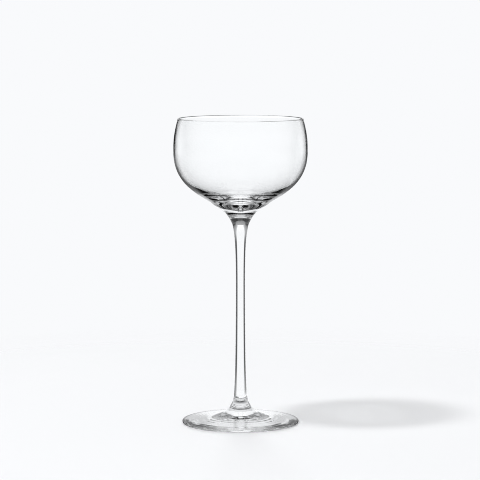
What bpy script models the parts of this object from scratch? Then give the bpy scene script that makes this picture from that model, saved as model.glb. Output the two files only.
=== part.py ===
"""Cocktail coupe: a blown bowl, a drawn stem and a pressed foot, three gathers of clear glass fused at
two butt joints. Metres, +Z up, origin at the centre of the foot's resting plane.

Each piece is a turned solid. Its half section is a chain of cubic curves between named stations, where
a station is a radius, a height and the lean of the wall there, and a reach says how far the curve holds
that lean before it bends away.
"""

import math

import bmesh
import bpy

MM = 0.001

# --- heights -------------------------------------------------------------------------------------
TOTAL_HEIGHT = 180.0 * MM
BOWL_JOINT_Z = 118.6 * MM  # bowl fused to stem
FOOT_JOINT_Z = 12.8 * MM  # stem fused to foot
JOINT_GAP = 0.3 * MM  # left open between the faces of a fused joint

# --- bowl, outside -------------------------------------------------------------------------------
RIM_RADIUS = 36.9 * MM
RIM_LEAN = math.radians(15.5)  # the rim leans in
RIM_REACH = 11.2 * MM
BELLY_RADIUS = 39.42 * MM
BELLY_Z = 160.1 * MM
BELLY_REACH_UP = 4.0 * MM
BELLY_REACH_DOWN = 20.15 * MM
FUNNEL_RADIUS = 16.92 * MM  # where the bowl's underside turns into the funnel
FUNNEL_Z = 130.2 * MM
FUNNEL_LEAN = math.radians(51.1)
FUNNEL_REACH_UP = 6.3 * MM
FUNNEL_REACH_DOWN = 7.15 * MM
BOWL_JOINT_RADIUS = 5.2 * MM
BOWL_JOINT_LEAN = math.radians(25.0)
BOWL_JOINT_REACH_UP = 8.45 * MM

# --- bowl, inside --------------------------------------------------------------------------------
RIM_THICKNESS = 0.9 * MM
BELLY_WALL = 0.8 * MM
INNER_BELLY_Z = 161.9 * MM
INNER_RIM_REACH = 8.4 * MM
INNER_BELLY_REACH_UP = 6.0 * MM
INNER_BELLY_REACH_DOWN = 5.65 * MM
INNER_SLOPE_RADIUS = 25.63 * MM  # where the inside runs most steeply down to the floor
INNER_SLOPE_Z = 137.93 * MM
INNER_SLOPE_LEAN = math.radians(59.0)
INNER_SLOPE_REACH_UP = 14.8 * MM
INNER_SLOPE_REACH_DOWN = 6.65 * MM
INNER_FLOOR_Z = 128.28 * MM
INNER_FLOOR_REACH = 1.7 * MM

# --- stem ----------------------------------------------------------------------------------------
STEM_TOP_REACH = 3.05 * MM
WAIST_RADIUS = 2.715 * MM
WAIST_Z = 82.6 * MM
WAIST_REACH_UP = 25.5 * MM
WAIST_REACH_DOWN = 23.5 * MM
FOOT_JOINT_RADIUS = 4.52 * MM
FOOT_JOINT_LEAN = math.radians(26.4)
STEM_FOOT_REACH = 3.5 * MM

# --- foot ----------------------------------------------------------------------------------------
COLLAR_REACH = 4.5 * MM
CONE_RADIUS = 9.15 * MM  # where the collar runs out into the cone
CONE_Z = 6.95 * MM
CONE_SLOPE = math.radians(27.3)
CONE_REACH_IN = 2.6 * MM
CONE_REACH_OUT = 5.0 * MM
DISC_RADIUS = 19.0 * MM  # where the cone runs out into the thin disc
DISC_Z = 3.5 * MM
DISC_SLOPE = math.radians(9.0)
DISC_REACH = 3.0 * MM
EDGE_RADIUS = 34.4 * MM
EDGE_SLOPE = math.radians(4.0)
EDGE_THICKNESS = 1.7 * MM
EDGE_ROUND = 0.8 * MM
REST_RING_RADIUS = 26.0 * MM  # the foot stands on the flat ring outside this
HOLLOW_DEPTH = 2.6 * MM  # the underside is hollowed inside that ring

# --- fineness ------------------------------------------------------------------------------------
BOWL_SEGMENTS = 60
STEM_SEGMENTS = 32
FOOT_SEGMENTS = 60

# --- glass ---------------------------------------------------------------------------------------
GLASS_COLOUR = (0.96, 0.975, 0.975, 1.0)
GLASS_ROUGHNESS = 0.0
GLASS_IOR = 1.52


def step_along(point, lean, distance):
    """The point that far up a wall leaning outwards by lean from vertical; a negative distance goes down."""
    return (point[0] + distance * math.sin(lean), point[1] + distance * math.cos(lean))


def cubic(start, start_handle, end_handle, end, count):
    """count points along a cubic curve, after its start and up to its end."""
    points = []
    for i in range(1, count + 1):
        t = i / count
        s = 1.0 - t
        weights = (s * s * s, 3 * s * s * t, 3 * s * t * t, t * t * t)
        ends = (start, start_handle, end_handle, end)
        points.append(
            tuple(sum(w * p[axis] for w, p in zip(weights, ends)) for axis in (0, 1))
        )
    return points


def quarter_round(centre, radius_r, radius_z, start_deg, end_deg, count):
    """count points of an elliptical arc about centre, after its start and up to its end."""
    points = []
    for i in range(1, count + 1):
        angle = math.radians(start_deg + (end_deg - start_deg) * i / count)
        points.append(
            (centre[0] + radius_r * math.cos(angle), centre[1] + radius_z * math.sin(angle))
        )
    return points


def bowl_section():
    """From the middle of the cup's floor, up the inside, over the lip, down the outside, to the joint face."""
    lip = RIM_THICKNESS / 2
    lip_z = TOTAL_HEIGHT - lip
    inner_rim = (RIM_RADIUS - RIM_THICKNESS, lip_z)
    outer_rim = (RIM_RADIUS, lip_z)
    inner_belly = (BELLY_RADIUS - BELLY_WALL, INNER_BELLY_Z)
    outer_belly = (BELLY_RADIUS, BELLY_Z)
    inner_slope = (INNER_SLOPE_RADIUS, INNER_SLOPE_Z)
    floor = (0.0, INNER_FLOOR_Z)
    funnel = (FUNNEL_RADIUS, FUNNEL_Z)
    joint = (BOWL_JOINT_RADIUS, BOWL_JOINT_Z)

    points = [floor]
    points += cubic(
        floor,
        (INNER_FLOOR_REACH, INNER_FLOOR_Z),
        step_along(inner_slope, INNER_SLOPE_LEAN, -INNER_SLOPE_REACH_DOWN),
        inner_slope,
        8,
    )
    points += cubic(
        inner_slope,
        step_along(inner_slope, INNER_SLOPE_LEAN, INNER_SLOPE_REACH_UP),
        (inner_belly[0], inner_belly[1] - INNER_BELLY_REACH_DOWN),
        inner_belly,
        11,
    )
    points += cubic(
        inner_belly,
        (inner_belly[0], inner_belly[1] + INNER_BELLY_REACH_UP),
        step_along(inner_rim, -RIM_LEAN, -INNER_RIM_REACH),
        inner_rim,
        5,
    )
    points += quarter_round((RIM_RADIUS - lip, lip_z), lip, lip, 180, 0, 6)
    points += cubic(
        outer_rim,
        step_along(outer_rim, -RIM_LEAN, -RIM_REACH),
        (BELLY_RADIUS, BELLY_Z + BELLY_REACH_UP),
        outer_belly,
        5,
    )
    points += cubic(
        outer_belly,
        (BELLY_RADIUS, BELLY_Z - BELLY_REACH_DOWN),
        step_along(funnel, FUNNEL_LEAN, FUNNEL_REACH_UP),
        funnel,
        11,
    )
    points += cubic(
        funnel,
        step_along(funnel, FUNNEL_LEAN, -FUNNEL_REACH_DOWN),
        step_along(joint, BOWL_JOINT_LEAN, BOWL_JOINT_REACH_UP),
        joint,
        7,
    )
    face_z = BOWL_JOINT_Z + JOINT_GAP / 2
    points = [p for p in points if p[1] > face_z + 0.05 * MM]
    points.append(step_along(joint, BOWL_JOINT_LEAN, JOINT_GAP / 2))
    points[-1] = (points[-1][0], face_z)
    points.append((0.0, face_z))
    return points


def stem_section():
    """From the middle of the upper joint face, down the side, to the middle of the lower one."""
    top = (BOWL_JOINT_RADIUS, BOWL_JOINT_Z)
    waist = (WAIST_RADIUS, WAIST_Z)
    bottom = (FOOT_JOINT_RADIUS, FOOT_JOINT_Z)
    side = [top]
    side += cubic(
        top,
        step_along(top, BOWL_JOINT_LEAN, -STEM_TOP_REACH),
        (WAIST_RADIUS, WAIST_Z + WAIST_REACH_UP),
        waist,
        9,
    )
    side += cubic(
        waist,
        (WAIST_RADIUS, WAIST_Z - WAIST_REACH_DOWN),
        step_along(bottom, -FOOT_JOINT_LEAN, STEM_FOOT_REACH),
        bottom,
        9,
    )
    top_face = BOWL_JOINT_Z - JOINT_GAP / 2
    bottom_face = FOOT_JOINT_Z + JOINT_GAP / 2
    first = step_along(top, BOWL_JOINT_LEAN, -JOINT_GAP / 2)
    last = step_along(bottom, -FOOT_JOINT_LEAN, JOINT_GAP / 2)
    points = [(0.0, top_face), (first[0], top_face)]
    points += [p for p in side if bottom_face + 0.05 * MM < p[1] < top_face - 0.05 * MM]
    points += [(last[0], bottom_face), (0.0, bottom_face)]
    return points


def foot_section():
    """From the middle of the joint face, down the collar and the cone, round the edge, to the hollow underneath."""
    joint = (FOOT_JOINT_RADIUS, FOOT_JOINT_Z)
    cone = (CONE_RADIUS, CONE_Z)
    disc = (DISC_RADIUS, DISC_Z)
    shoulder = (EDGE_RADIUS - EDGE_ROUND, EDGE_THICKNESS)
    ring = (REST_RING_RADIUS, 0.0)
    crown = (0.0, HOLLOW_DEPTH)

    def down_slope(point, slope, distance):
        return (point[0] + distance * math.cos(slope), point[1] - distance * math.sin(slope))

    side = cubic(
        joint,
        step_along(joint, -FOOT_JOINT_LEAN, -COLLAR_REACH),
        down_slope(cone, CONE_SLOPE, -CONE_REACH_IN),
        cone,
        7,
    )
    side += cubic(
        cone,
        down_slope(cone, CONE_SLOPE, CONE_REACH_OUT),
        down_slope(disc, DISC_SLOPE, -DISC_REACH),
        disc,
        8,
    )
    third = (shoulder[0] - disc[0]) / 3
    side += cubic(
        disc,
        down_slope(disc, DISC_SLOPE, third),
        down_slope(shoulder, EDGE_SLOPE, -third),
        shoulder,
        4,
    )
    half = EDGE_THICKNESS / 2
    side += quarter_round((shoulder[0], half), EDGE_ROUND, half, 90, -90, 6)
    face_z = FOOT_JOINT_Z - JOINT_GAP / 2
    first = step_along(joint, -FOOT_JOINT_LEAN, -JOINT_GAP / 2)
    points = [(0.0, face_z), (first[0], face_z)]
    points += [p for p in side if p[1] < face_z - 0.05 * MM]
    points.append(ring)
    points += cubic(
        ring,
        (REST_RING_RADIUS * 0.66, HOLLOW_DEPTH * 0.55),
        (REST_RING_RADIUS * 0.33, HOLLOW_DEPTH),
        crown,
        7,
    )
    return points


def glass(name):
    material = bpy.data.materials.new(name)
    material.use_nodes = True
    shader = material.node_tree.nodes["Principled BSDF"]
    shader.inputs["Base Color"].default_value = GLASS_COLOUR
    shader.inputs["Metallic"].default_value = 0.0
    shader.inputs["Roughness"].default_value = GLASS_ROUGHNESS
    shader.inputs["IOR"].default_value = GLASS_IOR
    shader.inputs["Transmission Weight"].default_value = 1.0
    return material


def turned(name, section, base_z, segments, parent):
    """A solid turned about Z from its half section, standing with its own origin on the axis at base_z."""
    bm = bmesh.new()
    verts = [bm.verts.new((r, 0.0, z - base_z)) for r, z in section]
    edges = [bm.edges.new(pair) for pair in zip(verts, verts[1:])]
    bmesh.ops.spin(
        bm,
        geom=verts + edges,
        cent=(0.0, 0.0, 0.0),
        axis=(0.0, 0.0, 1.0),
        angle=2.0 * math.pi,
        steps=segments,
        use_merge=True,
    )
    bmesh.ops.remove_doubles(bm, verts=bm.verts, dist=0.002 * MM)
    bmesh.ops.recalc_face_normals(bm, faces=bm.faces)
    mesh = bpy.data.meshes.new(name)
    bm.to_mesh(mesh)
    bm.free()
    mesh.shade_smooth()
    mesh.set_sharp_from_angle(angle=math.radians(40.0))
    mesh.materials.append(glass(name + "_glass"))
    piece = bpy.data.objects.new(name, mesh)
    piece.location = (0.0, 0.0, base_z)
    piece.parent = parent
    bpy.context.scene.collection.objects.link(piece)
    return piece


def main():
    for obj in list(bpy.data.objects):
        bpy.data.objects.remove(obj, do_unlink=True)
    coupe = bpy.data.objects.new("coupe", None)
    coupe.empty_display_size = 20 * MM
    bpy.context.scene.collection.objects.link(coupe)
    turned("foot", foot_section(), 0.0, FOOT_SEGMENTS, coupe)
    turned("stem", stem_section(), FOOT_JOINT_Z, STEM_SEGMENTS, coupe)
    turned("bowl", bowl_section(), BOWL_JOINT_Z, BOWL_SEGMENTS, coupe)


main()
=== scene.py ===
import math

import bmesh
import bpy
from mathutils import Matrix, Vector


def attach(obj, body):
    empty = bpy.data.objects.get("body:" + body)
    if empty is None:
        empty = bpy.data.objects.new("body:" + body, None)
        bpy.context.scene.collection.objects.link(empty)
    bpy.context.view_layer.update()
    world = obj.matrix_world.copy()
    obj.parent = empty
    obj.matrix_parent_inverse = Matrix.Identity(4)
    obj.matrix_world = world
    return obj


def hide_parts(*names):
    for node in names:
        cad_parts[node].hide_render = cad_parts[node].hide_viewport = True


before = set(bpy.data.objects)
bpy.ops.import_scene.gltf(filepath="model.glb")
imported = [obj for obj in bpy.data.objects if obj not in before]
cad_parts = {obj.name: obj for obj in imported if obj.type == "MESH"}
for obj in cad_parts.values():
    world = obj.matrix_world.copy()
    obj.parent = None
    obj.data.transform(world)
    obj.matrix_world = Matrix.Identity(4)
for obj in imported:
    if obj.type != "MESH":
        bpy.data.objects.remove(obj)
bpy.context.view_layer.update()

MM = 0.001

# ---------------------------------------------------------------------------------------------------
# The half section, with the same driving dimensions as the CAD solids
# ---------------------------------------------------------------------------------------------------
TOTAL_HEIGHT = 180.0 * MM
BOWL_JOINT_Z = 118.6 * MM
FOOT_JOINT_Z = 12.8 * MM

RIM_RADIUS = 36.9 * MM
RIM_LEAN = math.radians(15.5)
RIM_REACH = 11.2 * MM
BELLY_RADIUS = 39.42 * MM
BELLY_Z = 160.1 * MM
BELLY_REACH_UP = 4.0 * MM
BELLY_REACH_DOWN = 20.15 * MM
FUNNEL_RADIUS = 16.92 * MM
FUNNEL_Z = 130.2 * MM
FUNNEL_LEAN = math.radians(51.1)
FUNNEL_REACH_UP = 6.3 * MM
FUNNEL_REACH_DOWN = 7.15 * MM
BOWL_JOINT_RADIUS = 5.2 * MM
BOWL_JOINT_LEAN = math.radians(25.0)
BOWL_JOINT_REACH_UP = 8.45 * MM

RIM_THICKNESS = 0.9 * MM
INNER_RIM_REACH = 8.4 * MM
BELLY_WALL = 0.8 * MM
INNER_BELLY_Z = 161.9 * MM
INNER_BELLY_REACH_UP = 6.0 * MM
INNER_BELLY_REACH_DOWN = 5.65 * MM
INNER_SLOPE_RADIUS = 25.63 * MM
INNER_SLOPE_Z = 137.93 * MM
INNER_SLOPE_LEAN = math.radians(59.0)
INNER_SLOPE_REACH_UP = 14.8 * MM
INNER_SLOPE_REACH_DOWN = 6.65 * MM
INNER_FLOOR_Z = 128.28 * MM
INNER_FLOOR_REACH = 1.7 * MM

STEM_TOP_REACH = 3.05 * MM
WAIST_RADIUS = 2.715 * MM
WAIST_Z = 82.6 * MM
WAIST_REACH_UP = 25.5 * MM
WAIST_REACH_DOWN = 23.5 * MM
FOOT_JOINT_RADIUS = 4.52 * MM
FOOT_JOINT_LEAN = math.radians(26.4)
STEM_FOOT_REACH = 3.5 * MM

COLLAR_REACH = 4.5 * MM
CONE_RADIUS = 9.15 * MM
CONE_Z = 6.95 * MM
CONE_SLOPE = math.radians(27.3)
CONE_REACH_IN = 2.6 * MM
CONE_REACH_OUT = 5.0 * MM
DISC_RADIUS = 19.0 * MM
DISC_Z = 3.5 * MM
DISC_SLOPE = math.radians(9.0)
DISC_REACH = 3.0 * MM
EDGE_RADIUS = 34.4 * MM
EDGE_SLOPE = math.radians(4.0)
EDGE_THICKNESS = 1.7 * MM
EDGE_ROUND = 0.8 * MM
REST_RING_RADIUS = 26.0 * MM
HOLLOW_DEPTH = 2.6 * MM

SEGMENTS = 192


def step_along(point, lean, distance):
    return (point[0] + distance * math.sin(lean), point[1] + distance * math.cos(lean))


def down_slope(point, slope, distance):
    return (point[0] + distance * math.cos(slope), point[1] - distance * math.sin(slope))


def cubic(start, start_handle, end_handle, end, count):
    points = []
    for i in range(1, count + 1):
        t = i / count
        s = 1.0 - t
        weights = (s * s * s, 3 * s * s * t, 3 * s * t * t, t * t * t)
        ends = (start, start_handle, end_handle, end)
        points.append(tuple(sum(w * p[k] for w, p in zip(weights, ends)) for k in (0, 1)))
    return points


def quarter_round(centre, radius_r, radius_z, start_deg, end_deg, count):
    points = []
    for i in range(1, count + 1):
        a = math.radians(start_deg + (end_deg - start_deg) * i / count)
        points.append((centre[0] + radius_r * math.cos(a), centre[1] + radius_z * math.sin(a)))
    return points


def bowl_section():
    lip = RIM_THICKNESS / 2
    lip_z = TOTAL_HEIGHT - lip
    inner_rim = (RIM_RADIUS - RIM_THICKNESS, lip_z)
    outer_rim = (RIM_RADIUS, lip_z)
    inner_belly = (BELLY_RADIUS - BELLY_WALL, INNER_BELLY_Z)
    outer_belly = (BELLY_RADIUS, BELLY_Z)
    inner_slope = (INNER_SLOPE_RADIUS, INNER_SLOPE_Z)
    floor = (0.0, INNER_FLOOR_Z)
    funnel = (FUNNEL_RADIUS, FUNNEL_Z)
    joint = (BOWL_JOINT_RADIUS, BOWL_JOINT_Z)
    points = [floor]
    points += cubic(floor, (INNER_FLOOR_REACH, INNER_FLOOR_Z),
                    step_along(inner_slope, INNER_SLOPE_LEAN, -INNER_SLOPE_REACH_DOWN), inner_slope, 40)
    points += cubic(inner_slope, step_along(inner_slope, INNER_SLOPE_LEAN, INNER_SLOPE_REACH_UP),
                    (inner_belly[0], inner_belly[1] - INNER_BELLY_REACH_DOWN), inner_belly, 44)
    points += cubic(inner_belly, (inner_belly[0], inner_belly[1] + INNER_BELLY_REACH_UP),
                    step_along(inner_rim, -RIM_LEAN, -INNER_RIM_REACH), inner_rim, 20)
    points += quarter_round((RIM_RADIUS - lip, lip_z), lip, lip, 180, 0, 12)
    points += cubic(outer_rim, step_along(outer_rim, -RIM_LEAN, -RIM_REACH),
                    (BELLY_RADIUS, BELLY_Z + BELLY_REACH_UP), outer_belly, 20)
    points += cubic(outer_belly, (BELLY_RADIUS, BELLY_Z - BELLY_REACH_DOWN),
                    step_along(funnel, FUNNEL_LEAN, FUNNEL_REACH_UP), funnel, 48)
    points += cubic(funnel, step_along(funnel, FUNNEL_LEAN, -FUNNEL_REACH_DOWN),
                    step_along(joint, BOWL_JOINT_LEAN, BOWL_JOINT_REACH_UP), joint, 32)
    points.append((0.0, BOWL_JOINT_Z))
    return points


def stem_section():
    top = (BOWL_JOINT_RADIUS, BOWL_JOINT_Z)
    waist = (WAIST_RADIUS, WAIST_Z)
    bottom = (FOOT_JOINT_RADIUS, FOOT_JOINT_Z)
    points = [(0.0, BOWL_JOINT_Z), top]
    points += cubic(top, step_along(top, BOWL_JOINT_LEAN, -STEM_TOP_REACH),
                    (WAIST_RADIUS, WAIST_Z + WAIST_REACH_UP), waist, 48)
    points += cubic(waist, (WAIST_RADIUS, WAIST_Z - WAIST_REACH_DOWN),
                    step_along(bottom, -FOOT_JOINT_LEAN, STEM_FOOT_REACH), bottom, 48)
    points.append((0.0, FOOT_JOINT_Z))
    return points


def foot_section():
    joint = (FOOT_JOINT_RADIUS, FOOT_JOINT_Z)
    cone = (CONE_RADIUS, CONE_Z)
    disc = (DISC_RADIUS, DISC_Z)
    shoulder = (EDGE_RADIUS - EDGE_ROUND, EDGE_THICKNESS)
    ring = (REST_RING_RADIUS, 0.0)
    crown = (0.0, HOLLOW_DEPTH)
    points = [(0.0, FOOT_JOINT_Z), joint]
    points += cubic(joint, step_along(joint, -FOOT_JOINT_LEAN, -COLLAR_REACH),
                    down_slope(cone, CONE_SLOPE, -CONE_REACH_IN), cone, 28)
    points += cubic(cone, down_slope(cone, CONE_SLOPE, CONE_REACH_OUT),
                    down_slope(disc, DISC_SLOPE, -DISC_REACH), disc, 40)
    third = (shoulder[0] - disc[0]) / 3
    points += cubic(disc, down_slope(disc, DISC_SLOPE, third),
                    down_slope(shoulder, EDGE_SLOPE, -third), shoulder, 16)
    half = EDGE_THICKNESS / 2
    points += quarter_round((shoulder[0], half), EDGE_ROUND, half, 90, -90, 20)
    points.append(ring)
    points += cubic(ring, (REST_RING_RADIUS * 0.66, HOLLOW_DEPTH * 0.55),
                    (REST_RING_RADIUS * 0.33, HOLLOW_DEPTH), crown, 32)
    return points


def turned(name, section, cap_z, glass, seam):
    """A closed turned mesh. Faces lying in a joint plane take the seam material."""
    bm = bmesh.new()
    rings = []
    for r, z in section:
        if r < 1e-9:
            rings.append([bm.verts.new((0.0, 0.0, z))])
        else:
            rings.append([
                bm.verts.new((r * math.cos(2 * math.pi * k / SEGMENTS),
                              r * math.sin(2 * math.pi * k / SEGMENTS), z))
                for k in range(SEGMENTS)
            ])
    for upper, lower in zip(rings, rings[1:]):
        for k in range(SEGMENTS):
            n = (k + 1) % SEGMENTS
            loop = [upper[k % len(upper)], lower[k % len(lower)],
                    lower[n % len(lower)], upper[n % len(upper)]]
            corners = []
            for v in loop:
                if v not in corners:
                    corners.append(v)
            face = bm.faces.new(corners)
            face.smooth = True
            if all(any(abs(v.co.z - z) < 1e-7 for z in cap_z) for v in corners):
                face.material_index = 1
    bmesh.ops.recalc_face_normals(bm, faces=bm.faces)
    mesh = bpy.data.meshes.new(name)
    bm.to_mesh(mesh)
    bm.free()
    mesh.set_sharp_from_angle(angle=math.radians(45.0))
    mesh.materials.append(glass)
    mesh.materials.append(seam)
    piece = bpy.data.objects.new(name, mesh)
    bpy.context.scene.collection.objects.link(piece)
    return piece


# ---------------------------------------------------------------------------------------------------
# Materials
# ---------------------------------------------------------------------------------------------------
def new_material(name):
    material = bpy.data.materials.new(name)
    material.use_nodes = True
    nodes = material.node_tree.nodes
    nodes.clear()
    out = nodes.new("ShaderNodeOutputMaterial")
    return material, nodes, material.node_tree.links, out


def glass_material(name, wave_size, wave_height, ring_size=0.0, ring_height=0.0):
    """Clear fire-polished glass: a trace of tint, a polish that varies a little and the faint waviness of
    hand-worked glass."""
    material, nodes, links, out = new_material(name)
    shader = nodes.new("ShaderNodeBsdfPrincipled")
    shader.inputs["IOR"].default_value = 1.52
    shader.inputs["Transmission Weight"].default_value = 1.0
    coord = nodes.new("ShaderNodeTexCoord")
    # drawn-out striae: the glass was worked round and along its axis
    stretch = nodes.new("ShaderNodeMapping")
    stretch.inputs["Scale"].default_value = (1.0, 1.0, 0.35)
    links.new(coord.outputs["Object"], stretch.inputs["Vector"])
    striae = nodes.new("ShaderNodeTexNoise")
    striae.inputs["Scale"].default_value = 1.0 / wave_size
    striae.inputs["Detail"].default_value = 1.0
    striae.inputs["Roughness"].default_value = 0.4
    links.new(stretch.outputs["Vector"], striae.inputs["Vector"])
    tint = nodes.new("ShaderNodeValToRGB")
    tint.color_ramp.elements[0].position = 0.3
    tint.color_ramp.elements[0].color = (0.983, 0.9885, 0.9885, 1.0)
    tint.color_ramp.elements[1].position = 0.7
    tint.color_ramp.elements[1].color = (0.987, 0.9915, 0.9915, 1.0)
    links.new(striae.outputs["Fac"], tint.inputs["Fac"])
    links.new(tint.outputs["Color"], shader.inputs["Base Color"])
    polish = nodes.new("ShaderNodeTexNoise")
    polish.inputs["Scale"].default_value = 260.0
    polish.inputs["Detail"].default_value = 2.0
    links.new(coord.outputs["Object"], polish.inputs["Vector"])
    sheen = nodes.new("ShaderNodeMapRange")
    sheen.inputs["From Min"].default_value = 0.3
    sheen.inputs["From Max"].default_value = 0.8
    sheen.inputs["To Min"].default_value = 0.0
    sheen.inputs["To Max"].default_value = 0.018
    links.new(polish.outputs["Fac"], sheen.inputs["Value"])
    links.new(sheen.outputs["Result"], shader.inputs["Roughness"])
    wave = nodes.new("ShaderNodeBump")
    wave.inputs["Strength"].default_value = 1.0
    wave.inputs["Distance"].default_value = wave_height
    links.new(striae.outputs["Fac"], wave.inputs["Height"])
    links.new(wave.outputs["Normal"], shader.inputs["Normal"])
    if ring_height:
        # spun glass: shallow uneven rings round the axis
        rings = nodes.new("ShaderNodeTexWave")
        rings.wave_type = "RINGS"
        rings.rings_direction = "Z"
        rings.inputs["Scale"].default_value = 0.314 / ring_size
        rings.inputs["Distortion"].default_value = RING_UNEVEN
        rings.inputs["Detail"].default_value = 2.0
        rings.inputs["Detail Scale"].default_value = 0.6
        links.new(coord.outputs["Object"], rings.inputs["Vector"])
        spun = nodes.new("ShaderNodeBump")
        spun.inputs["Strength"].default_value = 1.0
        spun.inputs["Distance"].default_value = ring_height
        links.new(rings.outputs["Fac"], spun.inputs["Height"])
        links.new(wave.outputs["Normal"], spun.inputs["Normal"])
        links.new(spun.outputs["Normal"], shader.inputs["Normal"])
    links.new(shader.outputs["BSDF"], out.inputs["Surface"])
    return material


def seam_material(name):
    material, nodes, links, out = new_material(name)
    shader = nodes.new("ShaderNodeBsdfTransparent")
    links.new(shader.outputs["BSDF"], out.inputs["Surface"])
    return material


seam = seam_material("fused_joint")
BOWL_WAVE = 0.020 * MM
STEM_WAVE = 0.006 * MM
FOOT_WAVE = 0.020 * MM
RING_SIZE = 3.0 * MM
RING_HEIGHT = 0.03 * MM
RING_UNEVEN = 3.0
foot_glass = glass_material("foot_clear_glass", 9.0 * MM, FOOT_WAVE, RING_SIZE, RING_HEIGHT)
stem_glass = glass_material("stem_clear_glass", 9.0 * MM, STEM_WAVE)
bowl_glass = glass_material("bowl_clear_glass", 12.0 * MM, BOWL_WAVE)
foot = turned("foot_glass_piece", foot_section(), [FOOT_JOINT_Z], foot_glass, seam)
stem = turned("stem_glass_piece", stem_section(), [FOOT_JOINT_Z, BOWL_JOINT_Z], stem_glass, seam)
bowl = turned("bowl_glass_piece", bowl_section(), [BOWL_JOINT_Z], bowl_glass, seam)
for piece, node in ((foot, "foot"), (stem, "stem"), (bowl, "bowl")):
    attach(piece, "root")
    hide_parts(node)

# ---------------------------------------------------------------------------------------------------
# Stage
# ---------------------------------------------------------------------------------------------------
scene = bpy.context.scene
WHITE = (0.947, 0.956, 0.973)
AMBIENT = 0.689
FLOOR_TONE = 0.8
# painted shade on the floor under the foot and its edge, seen only through the glass
UNDER_STEM_PAINTED_SHADE = 0.05
UNDER_DISC_PAINTED_SHADE = 0.74
UNDER_NEAR = 0.0005
UNDER_FAR = 0.010
GAP_IN = 0.032
GAP_OUT = 0.044
GAP_PAINTED_SHADE = 0.9
FLOOR_NEAR = 0.036
FLOOR_FAR = 0.046
KEY_POWER = 0.08
KEY_SIZE = math.radians(2.5)
KEY_TRAVEL = (0.42, 0.19, -1.0)
SHADE_POWER = 0.93
SHADE_SIZE = 0.045
SHADE_PLACE = (-0.303, -0.112, 0.8)
BACK_POWER = 3.22
BACK_SIZE = math.radians(22.0)
BACK_TRAVEL = (0.06, -1.0, -0.22)

# the studio round the glass, by elevation in degrees: a white sheet straight behind, a dark gap beside it,
# a bright side panel, then the dim room
SHEET_EDGE = ((-90, 23), (-40, 23), (-31, 20), (-25, 16), (-20, 12), (-16, 9), (-11.5, 9), (-5, 9.5), (-4, 9), (0, 9), (2, 10), (4.5, 15), (8, 20), (13, 22), (19, 24), (30, 24), (90, 22))
SHEET_LEVEL = ((-90, 0.0), (-31.5, 0.0), (-27, 1.03), (-25, 1.05), (-16, 1.12), (-9, 1.16), (3.2, 1.16), (4.2, 0.86), (5.5, 0.7), (8, 0.65), (13, 0.6), (19, 0.53), (27, 0.47), (38, 0.34), (55, 0.14), (90, 0.08))
GAP_LEVEL = ((-90, 0.05), (-37, 0.05), (-31, 0.5), (-25, 0.5), (-20, 0.36), (-16, 0.22), (-11.5, 0.18), (-7, 0.14), (-5.2, 0.05), (-4, 0.02), (0, 0.0), (2, 0.04), (4.5, 0.45), (8, 0.58), (13, 0.5), (19, 0.45), (27, 0.33), (38, 0.28), (55, 0.14), (90, 0.08))
SIDE_EDGE = ((-90, 26), (-31, 26), (-25, 26), (-16, 30), (2, 30), (8, 29), (19, 28), (38, 30), (90, 35))
SIDE_LEVEL = ((-90, 0.05), (-37, 0.05), (-31, 0.43), (-16, 0.45), (-11.5, 0.5), (-8, 0.62), (-4, 0.78), (2, 0.78), (8, 0.72), (13, 0.5), (19, 0.3), (27, 0.16), (38, 0.14), (55, 0.08), (90, 0.06))
# the same where it is seen through the glass without a mirroring
CLEAR_LEVEL = ((-90, 0.33), (-40, 0.32), (-31, 0.43), (-16, 0.43), (-12.5, 0.4), (-11, 0.1), (-1, 0.08), (2, 0.3), (4.5, 0.5), (8, 0.48), (13, 0.38), (19, 0.28), (27, 0.16), (38, 0.14), (55, 0.08), (90, 0.06))
ROOM_EDGE = ((-90, 58), (-31, 52), (-20, 49), (-11.5, 50), (-8, 56), (-5, 60), (2, 60), (8, 58), (13, 50), (19, 40), (90, 40))
ROOM_LEVEL = ((-90, 0.18), (-31, 0.13), (-20, 0.09), (-11.5, 0.13), (-5, 0.1), (0, 0.12), (4.5, 0.24), (13, 0.24), (19, 0.17), (27, 0.08), (38, 0.05), (90, 0.04))
# the sheets for the other sides
OTHER_LEVEL = ((-90, 0.93), (-40, 0.98), (-31, 1.0), (-25, 1.05), (-16, 1.12), (-9, 1.16), (3.2, 1.16), (4.2, 0.86), (5.5, 0.7), (8, 0.65), (13, 0.6), (19, 0.53), (27, 0.47), (38, 0.34), (55, 0.14), (90, 0.08))
SHEET_SOFT = 3.0


class Graph:
    """Short hands for building a node graph."""

    def __init__(self, tree):
        self.tree = tree

    def node(self, kind, **values):
        made = self.tree.nodes.new(kind)
        for key, value in values.items():
            setattr(made, key, value)
        return made

    def put(self, socket, value):
        if isinstance(value, bpy.types.NodeSocket):
            self.tree.links.new(value, socket)
        else:
            socket.default_value = value

    def math(self, operation, *values, clamp=False):
        made = self.node("ShaderNodeMath", operation=operation, use_clamp=clamp)
        for socket, value in zip(made.inputs, values):
            self.put(socket, value)
        return made.outputs[0]

    def smooth(self, value, low, high, to_low=0.0, to_high=1.0):
        made = self.node("ShaderNodeMapRange", interpolation_type="SMOOTHSTEP", clamp=True)
        for name, v in (("Value", value), ("From Min", low), ("From Max", high), ("To Min", to_low), ("To Max", to_high)):
            self.put(made.inputs[name], v)
        return made.outputs["Result"]


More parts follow.
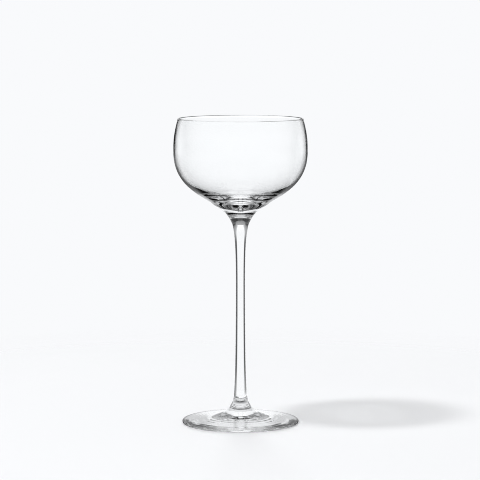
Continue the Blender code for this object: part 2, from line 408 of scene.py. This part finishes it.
# floor
bm = bmesh.new()
FLOOR_R = 1.6
ring_prev = None
centre = bm.verts.new((0, 0, 0))
radii = (0.05, 0.1, 0.2, 0.4, 0.8, FLOOR_R)
for r in radii:
    ring = [bm.verts.new((r * math.cos(2 * math.pi * k / 96), r * math.sin(2 * math.pi * k / 96), 0.0)) for k in range(96)]
    for k in range(96):
        n = (k + 1) % 96
        if ring_prev is None:
            bm.faces.new((centre, ring[k], ring[n]))
        else:
            bm.faces.new((ring_prev[k], ring[k], ring[n], ring_prev[n]))
    ring_prev = ring
mesh = bpy.data.meshes.new("floor")
bm.to_mesh(mesh)
bm.free()
floor = bpy.data.objects.new("floor", mesh)
floor.location.z = -0.00005
scene.collection.objects.link(floor)
material, nodes, links, out = new_material("pale_floor")
g = Graph(material.node_tree)
coord = g.node("ShaderNodeTexCoord")
length = g.node("ShaderNodeVectorMath", operation="LENGTH")
links.new(coord.outputs["Object"], length.inputs[0])
radius = length.outputs["Value"]
light_path = g.node("ShaderNodeLightPath")
camera_fade = g.smooth(radius, 0.18, 0.40)
other_fade = g.smooth(radius, FLOOR_NEAR, FLOOR_FAR)
camera = light_path.outputs["Is Camera Ray"]
fade = g.math("ADD", g.math("MULTIPLY", camera, camera_fade),
              g.math("MULTIPLY", g.math("SUBTRACT", 1.0, camera), other_fade))
diffuse = g.node("ShaderNodeBsdfDiffuse")
diffuse.inputs["Color"].default_value = (FLOOR_TONE, FLOOR_TONE, FLOOR_TONE, 1.0)
# rays bent by the glass see no lamp-lit floor but a glow: painted light and shade
painted_glow_through = g.node("ShaderNodeEmission")
painted_glow_through.inputs["Color"].default_value = (0.9906, 1.0, 1.0178, 1.0)
# painted shade in that glow: it is dimmest under the stem, and in the narrow gap under the foot's edge
edge_gap_painted_shade = g.math("MULTIPLY", g.smooth(radius, GAP_IN, GAP_IN + 0.002), g.smooth(radius, GAP_OUT - 0.001, GAP_OUT + 0.001, 1.0, 0.0))
under_painted_shade = g.smooth(radius, UNDER_NEAR, UNDER_FAR, UNDER_STEM_PAINTED_SHADE, UNDER_DISC_PAINTED_SHADE)
links.new(g.math("MULTIPLY", under_painted_shade, g.math("SUBTRACT", 1.0, g.math("MULTIPLY", edge_gap_painted_shade, GAP_PAINTED_SHADE))), painted_glow_through.inputs["Strength"])
clear = g.node("ShaderNodeBsdfTransparent")
seen = g.node("ShaderNodeMixShader")
direct = g.math("MAXIMUM", camera, g.math("GREATER_THAN", light_path.outputs["Diffuse Depth"], 0.5))
links.new(direct, seen.inputs[0])
links.new(painted_glow_through.outputs[0], seen.inputs[1])
links.new(diffuse.outputs[0], seen.inputs[2])
mix = g.node("ShaderNodeMixShader")
links.new(fade, mix.inputs[0])
links.new(seen.outputs[0], mix.inputs[1])
links.new(clear.outputs[0], mix.inputs[2])
links.new(mix.outputs[0], out.inputs["Surface"])
floor.data.materials.append(material)

# world
world = bpy.data.worlds.new("studio")
scene.world = world
world.use_nodes = True
tree = world.node_tree
tree.nodes.clear()
g = Graph(tree)
out = g.node("ShaderNodeOutputWorld")
coord = g.node("ShaderNodeTexCoord")
xyz = g.node("ShaderNodeSeparateXYZ")
tree.links.new(coord.outputs["Generated"], xyz.inputs[0])
x, y, z = xyz.outputs
flat = g.math("MAXIMUM", g.math("SQRT", g.math("ADD", g.math("MULTIPLY", x, x), g.math("MULTIPLY", y, y))), 1e-4)
elevation = g.math("DEGREES", g.math("ARCTAN2", z, flat))
height = g.math("DIVIDE", g.math("ADD", elevation, 90.0), 180.0)


def by_height(knots, top):
    """A value that follows the elevation in degrees, straight from knot to knot."""
    made = g.node("ShaderNodeValToRGB")
    ramp = made.color_ramp
    ramp.interpolation = "LINEAR"
    while len(ramp.elements) > 1:
        ramp.elements.remove(ramp.elements[-1])
    for i, (degrees, value) in enumerate(knots):
        place = (degrees + 90.0) / 180.0
        stop = ramp.elements[0] if i == 0 else ramp.elements.new(place)
        stop.position = place
        stop.color = (value / top, value / top, value / top, 1.0)
    tree.links.new(height, made.inputs[0])
    return g.math("MULTIPLY", made.outputs[0], top)


def off(azimuth_deg):
    """How far a direction lies from that compass direction, in degrees."""
    a = math.radians(azimuth_deg)
    cosine = g.math("DIVIDE", g.math("ADD", g.math("MULTIPLY", x, math.cos(a)), g.math("MULTIPLY", y, math.sin(a))), flat)
    return g.math("DEGREES", g.math("ARCCOSINE", g.math("MINIMUM", g.math("MAXIMUM", cosine, -1.0), 1.0)))


def blend(first, second, part):
    return g.math("ADD", first, g.math("MULTIPLY", part, g.math("SUBTRACT", second, first)))


behind = off(90.0)
light_path = g.node("ShaderNodeLightPath")
# the sheet is less bright where it is seen through one wall of the bowl, over the front rim
one_wall = g.math("MULTIPLY", g.math("LESS_THAN", light_path.outputs["Transmission Depth"], 2.5), g.smooth(elevation, -3.7, -3.3))
sheet = g.math("MULTIPLY", by_height(SHEET_LEVEL, 1.5), g.math("SUBTRACT", 1.0, g.math("MULTIPLY", one_wall, 0.095)))
level = sheet
unmirrored = g.math("LESS_THAN", light_path.outputs["Glossy Depth"], 0.5)
side = blend(by_height(SIDE_LEVEL, 1.5), by_height(CLEAR_LEVEL, 1.5), unmirrored)
for edge, beyond, soft in ((SHEET_EDGE, by_height(GAP_LEVEL, 1.5), SHEET_SOFT), (SIDE_EDGE, side, SHEET_SOFT),
                           (ROOM_EDGE, by_height(ROOM_LEVEL, 1.5), 12.0)):
    past = g.math("SUBTRACT", behind, by_height(edge, 60.0))
    level = blend(level, beyond, g.smooth(past, -soft, soft))
# narrower sheets for looking at the glass from other sides, not mirrored in it
OTHERS = ((180.0, 26.0, -22.0, 45.0), (315.0, 28.0, -90.0, 45.0), (135.0, 45.0, -60.0, -17.0))
other = by_height(OTHER_LEVEL, 1.5)
for azimuth, half, low, high in OTHERS:
    beside = g.smooth(off(azimuth), half - SHEET_SOFT, half + SHEET_SOFT, 1.0, 0.0)
    between = g.math("MULTIPLY", g.smooth(elevation, low - 2.0, low + 2.0), g.smooth(elevation, high - 2.0, high + 2.0, 1.0, 0.0))
    level = blend(level, other, g.math("MULTIPLY", unmirrored, g.math("MULTIPLY", beside, between)))
studio = g.node("ShaderNodeBackground")
studio.inputs["Color"].default_value = (0.9906, 1.0, 1.0178, 1.0)
tree.links.new(level, studio.inputs["Strength"])
ambient = g.node("ShaderNodeBackground")
ambient.inputs["Color"].default_value = (0.9906, 1.0, 1.0178, 1.0)
ambient.inputs["Strength"].default_value = AMBIENT
backdrop = g.node("ShaderNodeBackground")
backdrop.inputs["Color"].default_value = (*WHITE, 1.0)
mix_a = g.node("ShaderNodeMixShader")
tree.links.new(g.math("GREATER_THAN", light_path.outputs["Diffuse Depth"], 0.5), mix_a.inputs[0])
tree.links.new(studio.outputs[0], mix_a.inputs[1])
tree.links.new(ambient.outputs[0], mix_a.inputs[2])
mix_b = g.node("ShaderNodeMixShader")
tree.links.new(light_path.outputs["Is Camera Ray"], mix_b.inputs[0])
tree.links.new(mix_a.outputs[0], mix_b.inputs[1])
tree.links.new(backdrop.outputs[0], mix_b.inputs[2])
tree.links.new(mix_b.outputs[0], out.inputs["Surface"])

# a small white card close behind the stem, out of the camera's own sight: it glows, painted light that lights
# nothing and shows only through and in the glass
bm = bmesh.new()
CARD_RADIUS = 0.046
CARD_LOW = 0.001
CARD_HIGH = 0.132
CARD_EDGE = 28.0
CARD_TOP_EDGE = 14.0
CARD_LEVEL = 1.04
CARD_TOP_LEVEL = 1.15
ring_prev = None
for k in range(25):
    a = math.radians(90.0 - 36.0 + 3.0 * k)
    pair = [bm.verts.new((CARD_RADIUS * math.cos(a), CARD_RADIUS * math.sin(a), z_card)) for z_card in (CARD_LOW, CARD_HIGH)]
    if ring_prev:
        bm.faces.new((ring_prev[0], pair[0], pair[1], ring_prev[1]))
    ring_prev = pair
mesh = bpy.data.meshes.new("stem_card")
bm.to_mesh(mesh)
bm.free()
card = bpy.data.objects.new("stem_card", mesh)
scene.collection.objects.link(card)
card.visible_camera = False
card.visible_diffuse = False
card.visible_shadow = False
material, nodes, links, out = new_material("glowing_white_card")
g = Graph(material.node_tree)
coord = g.node("ShaderNodeTexCoord")
xyz = g.node("ShaderNodeSeparateXYZ")
links.new(coord.outputs["Object"], xyz.inputs[0])
turn = g.math("DEGREES", g.math("ARCTAN2", g.math("ABSOLUTE", xyz.outputs[0]), xyz.outputs[1]))
shine = g.node("ShaderNodeEmission")
shine.inputs["Color"].default_value = (0.9906, 1.0, 1.0178, 1.0)
# painted light: the glow is brighter towards the card's top
links.new(g.smooth(xyz.outputs[2], 0.112, 0.128, CARD_LEVEL, CARD_TOP_LEVEL), shine.inputs["Strength"])
clear = g.node("ShaderNodeBsdfTransparent")
mix = g.node("ShaderNodeMixShader")
edge = g.math("SUBTRACT", turn, g.smooth(xyz.outputs[2], 0.112, 0.128, CARD_EDGE, CARD_TOP_EDGE))
links.new(g.smooth(edge, -4.0, 4.0), mix.inputs[0])
links.new(shine.outputs[0], mix.inputs[1])
links.new(clear.outputs[0], mix.inputs[2])
links.new(mix.outputs[0], out.inputs["Surface"])
card.data.materials.append(material)


# lights, which the camera does not see through the glass
def place_lamp(name, light, power, even):
    light.use_nodes = True
    g = Graph(light.node_tree)
    shine = light.node_tree.nodes["Emission"]
    shine.inputs["Color"].default_value = (0.9906, 1.0, 1.0178, 1.0)
    light_path = g.node("ShaderNodeLightPath")
    straight = g.math("LESS_THAN", light_path.outputs["Diffuse Depth"], 0.5)
    bends = g.math("ADD", light_path.outputs["Transmission Depth"], light_path.outputs["Glossy Depth"])
    bent = g.math("GREATER_THAN", bends, 0.5)
    strength = g.math("SUBTRACT", 1.0, g.math("MULTIPLY", straight, bent))
    light.energy = power
    if even:
        # a near lamp that lights the floor as evenly as a far one
        falloff = g.node("ShaderNodeLightFalloff")
        g.put(falloff.inputs["Strength"], strength)
        strength = falloff.outputs["Constant"]
    g.put(shine.inputs["Strength"], strength)
    placed = bpy.data.objects.new(name, light)
    scene.collection.objects.link(placed)
    return placed


def near_lamp(name, power, radius, place):
    light = bpy.data.lights.new(name, "POINT")
    light.shadow_soft_size = radius
    place_lamp(name, light, power * 4.0 * math.pi, True).location = place
    return light


def far_lamp(name, power, size, travel):
    light = bpy.data.lights.new(name, "SUN")
    light.angle = size
    placed = place_lamp(name, light, power, False)
    placed.rotation_mode = "QUATERNION"
    placed.rotation_quaternion = Vector(travel).to_track_quat("-Z", "Y")
    placed.location = -Vector(travel)
    return light


# the key throws the bent light through the glass onto the floor
key = far_lamp("key", KEY_POWER, KEY_SIZE, KEY_TRAVEL)
key.cycles.is_caustics_light = True
for piece in (foot, stem, bowl):
    piece.cycles.is_caustics_caster = True
floor.cycles.is_caustics_receiver = True
near_lamp("shade", SHADE_POWER, SHADE_SIZE, SHADE_PLACE)
far_lamp("back", BACK_POWER, BACK_SIZE, BACK_TRAVEL)

# camera
cam = bpy.data.cameras.new("camera")
cam.sensor_width = 36.0
cam.lens = 2358.0 * 36.0 / 480.0
camera = bpy.data.objects.new("camera", cam)
camera.location = (-0.0003, -1.3788, 0.2548)
camera.rotation_euler = (math.radians(90.0 - 6.06), 0.0, 0.0)
scene.collection.objects.link(camera)
scene.camera = camera

scene.view_settings.view_transform = "Standard"
scene.view_settings.look = "None"
scene.view_settings.exposure = 0.0
scene.view_settings.gamma = 1.0
scene.cycles.max_bounces = 32
scene.cycles.transmission_bounces = 32
scene.cycles.glossy_bounces = 16
scene.cycles.diffuse_bounces = 4
scene.cycles.transparent_max_bounces = 32
scene.cycles.filter_width = 1.0
scene.cycles.use_denoising = True

bpy.context.view_layer.update()
